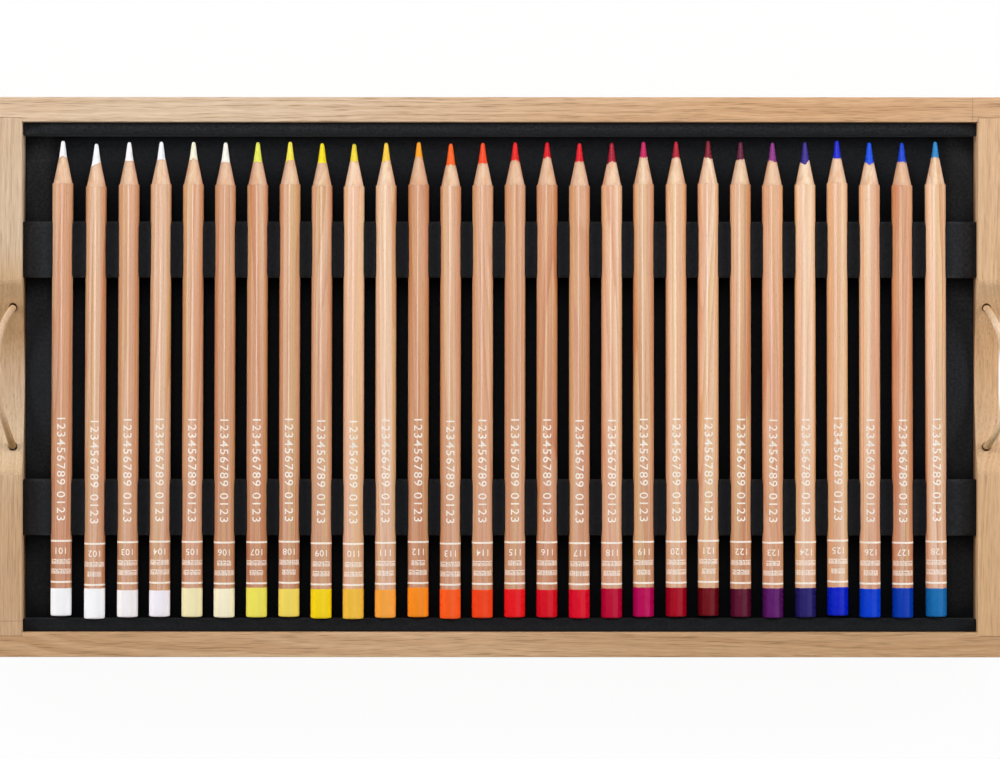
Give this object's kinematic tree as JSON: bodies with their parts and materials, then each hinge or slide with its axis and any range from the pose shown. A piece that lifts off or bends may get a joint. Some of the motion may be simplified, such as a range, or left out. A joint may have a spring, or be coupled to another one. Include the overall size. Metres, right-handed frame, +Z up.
{
  "type": "pencil drawer tray",
  "caption": "Open oak tray with a black foam insert holding a row of sharpened coloured pencils, with finger scoops and cord loop handles at both ends.",
  "frame": {"origin": "middle of the tray's underside, in plan and height", "axes": "+X along the row of pencils towards the blue ones, +Y from the pencils' tails to their tips, +Z up"},
  "size_m": [0.3728, 0.2072, 0.0348],
  "materials": {
    "oak": "satin",
    "foam": "matte",
    "cord": "satin",
    "cedar": "satin",
    "white_print": "satin",
    "colour_01": "satin",
    "colour_02": "satin",
    "colour_03": "satin",
    "colour_04": "satin",
    "colour_05": "satin",
    "colour_06": "satin",
    "colour_07": "satin",
    "colour_08": "satin",
    "colour_09": "satin",
    "colour_10": "satin",
    "colour_11": "satin",
    "colour_12": "satin",
    "colour_13": "satin",
    "colour_14": "satin",
    "colour_15": "satin",
    "colour_16": "satin",
    "colour_17": "satin",
    "colour_18": "satin",
    "colour_19": "satin",
    "colour_20": "satin",
    "colour_21": "satin",
    "colour_22": "satin",
    "colour_23": "satin",
    "colour_24": "satin",
    "colour_25": "satin",
    "colour_26": "satin",
    "colour_27": "satin",
    "colour_28": "satin"
  },
  "bodies": {
    "tray": {"back_rail": "oak", "front_rail": "oak", "left_end_wall": "oak", "right_end_wall": "oak", "bottom_panel": "oak", "foam_base": "foam", "tip_lip": "foam", "tail_lip": "foam", "tip_rest": "foam", "tail_rest": "foam", "left_cord_front_end": "cord", "left_cord_back_end": "cord", "right_cord_front_end": "cord", "right_cord_back_end": "cord"},
    "left_loop": {"left_cord_loop": "cord"},
    "right_loop": {"right_cord_loop": "cord"},
    "pencil_01": {"pencil_01": "cedar"},
    "pencil_02": {"pencil_02": "cedar"},
    "pencil_03": {"pencil_03": "cedar"},
    "pencil_04": {"pencil_04": "cedar"},
    "pencil_05": {"pencil_05": "cedar"},
    "pencil_06": {"pencil_06": "cedar"},
    "pencil_07": {"pencil_07": "cedar"},
    "pencil_08": {"pencil_08": "cedar"},
    "pencil_09": {"pencil_09": "cedar"},
    "pencil_10": {"pencil_10": "cedar"},
    "pencil_11": {"pencil_11": "cedar"},
    "pencil_12": {"pencil_12": "cedar"},
    "pencil_13": {"pencil_13": "cedar"},
    "pencil_14": {"pencil_14": "cedar"},
    "pencil_15": {"pencil_15": "cedar"},
    "pencil_16": {"pencil_16": "cedar"},
    "pencil_17": {"pencil_17": "cedar"},
    "pencil_18": {"pencil_18": "cedar"},
    "pencil_19": {"pencil_19": "cedar"},
    "pencil_20": {"pencil_20": "cedar"},
    "pencil_21": {"pencil_21": "cedar"},
    "pencil_22": {"pencil_22": "cedar"},
    "pencil_23": {"pencil_23": "cedar"},
    "pencil_24": {"pencil_24": "cedar"},
    "pencil_25": {"pencil_25": "cedar"},
    "pencil_26": {"pencil_26": "cedar"},
    "pencil_27": {"pencil_27": "cedar"},
    "pencil_28": {"pencil_28": "cedar"}
  },
  "joints": [
    {"name": "pencil_01_lift", "type": "slide", "parent": "tray", "child": "pencil_01", "axis": [0, 0, 1], "range_m": [0, 0.04]},
    {"name": "pencil_02_lift", "type": "slide", "parent": "tray", "child": "pencil_02", "axis": [0, 0, 1], "range_m": [0, 0.04]},
    {"name": "pencil_03_lift", "type": "slide", "parent": "tray", "child": "pencil_03", "axis": [0, 0, 1], "range_m": [0, 0.04]},
    {"name": "pencil_04_lift", "type": "slide", "parent": "tray", "child": "pencil_04", "axis": [0, 0, 1], "range_m": [0, 0.04]},
    {"name": "pencil_05_lift", "type": "slide", "parent": "tray", "child": "pencil_05", "axis": [0, 0, 1], "range_m": [0, 0.04]},
    {"name": "pencil_06_lift", "type": "slide", "parent": "tray", "child": "pencil_06", "axis": [0, 0, 1], "range_m": [0, 0.04]},
    {"name": "pencil_07_lift", "type": "slide", "parent": "tray", "child": "pencil_07", "axis": [0, 0, 1], "range_m": [0, 0.04]},
    {"name": "pencil_08_lift", "type": "slide", "parent": "tray", "child": "pencil_08", "axis": [0, 0, 1], "range_m": [0, 0.04]},
    {"name": "pencil_09_lift", "type": "slide", "parent": "tray", "child": "pencil_09", "axis": [0, 0, 1], "range_m": [0, 0.04]},
    {"name": "pencil_10_lift", "type": "slide", "parent": "tray", "child": "pencil_10", "axis": [0, 0, 1], "range_m": [0, 0.04]},
    {"name": "pencil_11_lift", "type": "slide", "parent": "tray", "child": "pencil_11", "axis": [0, 0, 1], "range_m": [0, 0.04]},
    {"name": "pencil_12_lift", "type": "slide", "parent": "tray", "child": "pencil_12", "axis": [0, 0, 1], "range_m": [0, 0.04]},
    {"name": "pencil_13_lift", "type": "slide", "parent": "tray", "child": "pencil_13", "axis": [0, 0, 1], "range_m": [0, 0.04]},
    {"name": "pencil_14_lift", "type": "slide", "parent": "tray", "child": "pencil_14", "axis": [0, 0, 1], "range_m": [0, 0.04]},
    {"name": "pencil_15_lift", "type": "slide", "parent": "tray", "child": "pencil_15", "axis": [0, 0, 1], "range_m": [0, 0.04]},
    {"name": "pencil_16_lift", "type": "slide", "parent": "tray", "child": "pencil_16", "axis": [0, 0, 1], "range_m": [0, 0.04]},
    {"name": "pencil_17_lift", "type": "slide", "parent": "tray", "child": "pencil_17", "axis": [0, 0, 1], "range_m": [0, 0.04]},
    {"name": "pencil_18_lift", "type": "slide", "parent": "tray", "child": "pencil_18", "axis": [0, 0, 1], "range_m": [0, 0.04]},
    {"name": "pencil_19_lift", "type": "slide", "parent": "tray", "child": "pencil_19", "axis": [0, 0, 1], "range_m": [0, 0.04]},
    {"name": "pencil_20_lift", "type": "slide", "parent": "tray", "child": "pencil_20", "axis": [0, 0, 1], "range_m": [0, 0.04]},
    {"name": "pencil_21_lift", "type": "slide", "parent": "tray", "child": "pencil_21", "axis": [0, 0, 1], "range_m": [0, 0.04]},
    {"name": "pencil_22_lift", "type": "slide", "parent": "tray", "child": "pencil_22", "axis": [0, 0, 1], "range_m": [0, 0.04]},
    {"name": "pencil_23_lift", "type": "slide", "parent": "tray", "child": "pencil_23", "axis": [0, 0, 1], "range_m": [0, 0.04]},
    {"name": "pencil_24_lift", "type": "slide", "parent": "tray", "child": "pencil_24", "axis": [0, 0, 1], "range_m": [0, 0.04]},
    {"name": "pencil_25_lift", "type": "slide", "parent": "tray", "child": "pencil_25", "axis": [0, 0, 1], "range_m": [0, 0.04]},
    {"name": "pencil_26_lift", "type": "slide", "parent": "tray", "child": "pencil_26", "axis": [0, 0, 1], "range_m": [0, 0.04]},
    {"name": "pencil_27_lift", "type": "slide", "parent": "tray", "child": "pencil_27", "axis": [0, 0, 1], "range_m": [0, 0.04]},
    {"name": "pencil_28_lift", "type": "slide", "parent": "tray", "child": "pencil_28", "axis": [0, 0, 1], "range_m": [0, 0.04]},
    {"name": "left_loop_swing", "type": "hinge", "parent": "tray", "child": "left_loop", "pos_m": [-0.18075, 0, 0.02206], "axis": [0, -1, 0], "range_deg": [-61, 39]},
    {"name": "right_loop_swing", "type": "hinge", "parent": "tray", "child": "right_loop", "pos_m": [0.18075, 0, 0.02206], "axis": [0, 1, 0], "range_deg": [-61, 39]}
  ]
}
